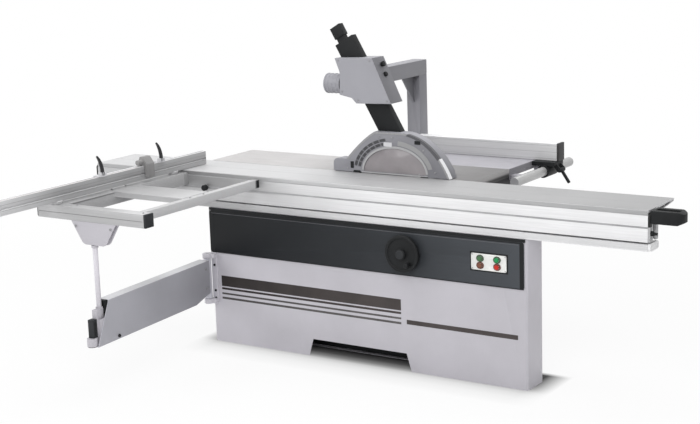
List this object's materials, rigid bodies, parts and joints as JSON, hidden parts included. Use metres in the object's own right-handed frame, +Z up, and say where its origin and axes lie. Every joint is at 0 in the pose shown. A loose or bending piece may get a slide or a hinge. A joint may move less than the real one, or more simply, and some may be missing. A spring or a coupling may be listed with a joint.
{
  "type": "sliding table panel saw",
  "caption": "Sliding table panel saw with an outrigger on a swinging arm, a crosscut fence, a rip fence on a guide bar and an overarm blade guard.",
  "frame": {"origin": "on the floor, at the middle of the cabinet's width and depth", "axes": "+X towards the infeed end where the operator stands, +Y towards the rip fence side, +Z up"},
  "size_m": [3.2629, 2.55, 1.6195],
  "materials": {
    "light_paint": "fine textured light grey paint",
    "grey_paint": "satin grey paint",
    "dark_paint": "satin dark grey paint",
    "black_plastic": "moulded black plastic",
    "dark_plastic": "moulded dark grey plastic",
    "grey_plastic": "moulded grey plastic",
    "white_plastic": "moulded white plastic",
    "red_plastic": "moulded red plastic",
    "green_plastic": "moulded green plastic",
    "smoked_plastic": "tinted clear plastic",
    "aluminium": "anodised extrusion",
    "steel": "turned and ground steel",
    "cast_iron": "ground cast iron",
    "table_extension_iron": "ground cast iron",
    "belt_rubber": "ribbed belt rubber"
  },
  "bodies": {
    "frame": {"front_housing": "light_paint", "rear_cabinet": "light_paint", "control_panel": "dark_paint", "switch_plate": "white_plastic", "base_rail": "aluminium", "rail_cap": "grey_plastic", "main_table": "cast_iron", "throat_insert": "aluminium", "rip_extension_table": "table_extension_iron", "guide_bar": "steel", "trunnion_frame": "cast_iron", "hinge_bracket": "light_paint", "overarm_post": "grey_paint", "overarm_tube": "grey_paint", "guard_housing": "grey_paint"},
    "stop_button_a": {"stop_button_outfeed": "red_plastic"},
    "start_button_a": {"start_button_outfeed": "green_plastic"},
    "stop_button_b": {"stop_button_infeed": "red_plastic"},
    "start_button_b": {"start_button_infeed": "green_plastic"},
    "lift_wheel": {"handwheel": "black_plastic", "handwheel_grip": "black_plastic"},
    "carriage": {"sliding_table": "aluminium", "table_end_plate_infeed": "black_plastic", "table_end_plate_outfeed": "black_plastic", "push_handle": "black_plastic", "outrigger_frame": "aluminium", "outrigger_clamp_left": "black_plastic", "outrigger_clamp_right": "black_plastic", "outrigger_end_cap": "black_plastic", "strut_bracket": "light_paint"},
    "lock_lever": {"table_lock_lever": "black_plastic"},
    "frame_knob": {"frame_clamp_knob": "black_plastic"},
    "cage": {"roller_cage": "steel"},
    "cross_fence": {"crosscut_fence": "aluminium", "fence_clamp": "grey_paint"},
    "near_stop": {"stop_carrier_near": "dark_paint"},
    "near_hook": {"stop_hook_near": "dark_paint"},
    "far_stop": {"stop_carrier_far": "dark_paint"},
    "far_hook": {"stop_hook_far": "dark_paint"},
    "swing_arm": {"support_beam": "grey_paint"},
    "telescope": {"telescope_beam": "light_paint", "telescope_end_block": "black_plastic", "support_strut": "aluminium"},
    "rip_carrier": {"rip_fence_carrier": "black_plastic"},
    "rip_bar": {"rip_fence": "aluminium", "rip_fence_end_cap": "dark_plastic"},
    "rip_clamp": {"rip_fence_lever": "black_plastic"},
    "guard": {"guard_mast": "black_plastic", "guard_hood": "grey_paint", "guard_window": "smoked_plastic"},
    "guard_knob": {"housing_clamp_knob": "black_plastic"},
    "tilt_unit": {"tilt_carriage": "cast_iron"},
    "lift_unit": {"arbor_carrier": "cast_iron", "riving_knife": "steel", "motor": "dark_paint", "drive_belt": "belt_rubber"},
    "spindle": {"saw_spindle": "steel", "saw_blade": "steel"},
    "motor_rotor": {"motor_pulley": "steel"},
    "scoring_unit": {"scoring_blade": "steel"}
  },
  "joints": [
    {"name": "stop_press_a", "type": "slide", "parent": "frame", "child": "stop_button_a", "axis": [0, 1, 0], "range_m": [0, 0.003], "stiffness_N_per_m": 400},
    {"name": "start_press_a", "type": "slide", "parent": "frame", "child": "start_button_a", "axis": [0, 1, 0], "range_m": [0, 0.003], "stiffness_N_per_m": 400},
    {"name": "stop_press_b", "type": "slide", "parent": "frame", "child": "stop_button_b", "axis": [0, 1, 0], "range_m": [0, 0.003], "stiffness_N_per_m": 400},
    {"name": "start_press_b", "type": "slide", "parent": "frame", "child": "start_button_b", "axis": [0, 1, 0], "range_m": [0, 0.003], "stiffness_N_per_m": 400},
    {"name": "handwheel_turn", "type": "hinge", "parent": "frame", "child": "lift_wheel", "pos_m": [0.264, -0.4, 0.583], "axis": [0, 1, 0], "range_deg": [-1732, 1156]},
    {"name": "blade_tilt", "type": "hinge", "parent": "frame", "child": "tilt_unit", "pos_m": [0, -0.055, 0.885], "axis": [-1, 0, 0], "range_deg": [0, 45]},
    {"name": "blade_lift", "type": "slide", "parent": "tilt_unit", "child": "lift_unit", "axis": [0, 0, 1], "range_m": [-0.048, 0.032]},
    {"name": "spindle_spin", "type": "hinge", "parent": "lift_unit", "child": "spindle", "pos_m": [0, -0.055, 0.7725], "axis": [0, 1, 0], "continuous": true},
    {"name": "motor_spin", "type": "hinge", "parent": "lift_unit", "child": "motor_rotor", "pos_m": [-0.13, 0.1, 0.615], "axis": [0, 1, 0], "continuous": true},
    {"name": "scoring_spin", "type": "hinge", "parent": "tilt_unit", "child": "scoring_unit", "pos_m": [0.235, -0.055, 0.8265], "axis": [0, 1, 0], "continuous": true},
    {"name": "table_slide", "type": "slide", "parent": "frame", "child": "carriage", "axis": [1, 0, 0], "range_m": [-1.25, 1.25]},
    {"name": "cage_roll", "type": "slide", "parent": "frame", "child": "cage", "axis": [1, 0, 0], "range_m": [-0.625, 0.625]},
    {"name": "table_lock_turn", "type": "hinge", "parent": "carriage", "child": "lock_lever", "pos_m": [1.47, -0.367, 0.784], "axis": [1, 0, 0], "range_deg": [0, 90]},
    {"name": "frame_knob_turn", "type": "hinge", "parent": "carriage", "child": "frame_knob", "pos_m": [-0.9, -0.4, 0.808], "axis": [0, 1, 0], "continuous": true},
    {"name": "crosscut_mitre", "type": "hinge", "parent": "carriage", "child": "cross_fence", "pos_m": [-1.07, -0.44, 0.88], "axis": [0, 0, 1], "range_deg": [0, 45]},
    {"name": "near_stop_slide", "type": "slide", "parent": "cross_fence", "child": "near_stop", "axis": [0, 1, 0], "range_m": [-0.65, 0.24]},
    {"name": "near_hook_flip", "type": "hinge", "parent": "near_stop", "child": "near_hook", "pos_m": [-1.044, -0.99, 0.97], "axis": [0, 1, 0], "range_deg": [0, 105]},
    {"name": "far_stop_slide", "type": "slide", "parent": "cross_fence", "child": "far_stop", "axis": [0, 1, 0], "range_m": [-0.03, 0.295]},
    {"name": "far_hook_flip", "type": "hinge", "parent": "far_stop", "child": "far_hook", "pos_m": [-1.044, -0.556, 0.97], "axis": [0, 1, 0], "range_deg": [0, 105]},
    {"name": "arm_swing", "type": "hinge", "parent": "frame", "child": "swing_arm", "pos_m": [-0.9, -0.412, 0.34], "axis": [0, 0, 1], "range_deg": [-54, 54]},
    {"name": "telescope_slide", "type": "slide", "parent": "swing_arm", "child": "telescope", "axis": [0.0698, -0.9976, 0], "range_m": [0, 0.7]},
    {"name": "rip_carrier_slide", "type": "slide", "parent": "frame", "child": "rip_carrier", "axis": [0, 1, 0], "range_m": [-0.31, 0.06]},
    {"name": "rip_fence_slide", "type": "slide", "parent": "rip_carrier", "child": "rip_bar", "axis": [1, 0, 0], "range_m": [0, 0.25]},
    {"name": "rip_clamp_turn", "type": "hinge", "parent": "rip_carrier", "child": "rip_clamp", "pos_m": [0.62, 0.58, 0.843], "axis": [0, -1, 0], "range_deg": [0, 70]},
    {"name": "guard_slide", "type": "slide", "parent": "frame", "child": "guard", "axis": [-0.5, 0, 0.866], "range_m": [0, 0.15]},
    {"name": "guard_knob_turn", "type": "hinge", "parent": "frame", "child": "guard_knob", "pos_m": [-0.0441, -0.054, 1.421], "axis": [0.9049, 0, 0.4256], "continuous": true}
  ],
  "couplings": [
    {"joint": "cage_roll", "follows": "table_slide", "ratio": 0.5},
    {"joint": "arm_swing", "follows": "table_slide", "rad_per_m": 0.75},
    {"joint": "handwheel_turn", "follows": "blade_lift", "rad_per_m": 628.32},
    {"joint": "motor_spin", "follows": "spindle_spin", "ratio": 0.70833}
  ]
}
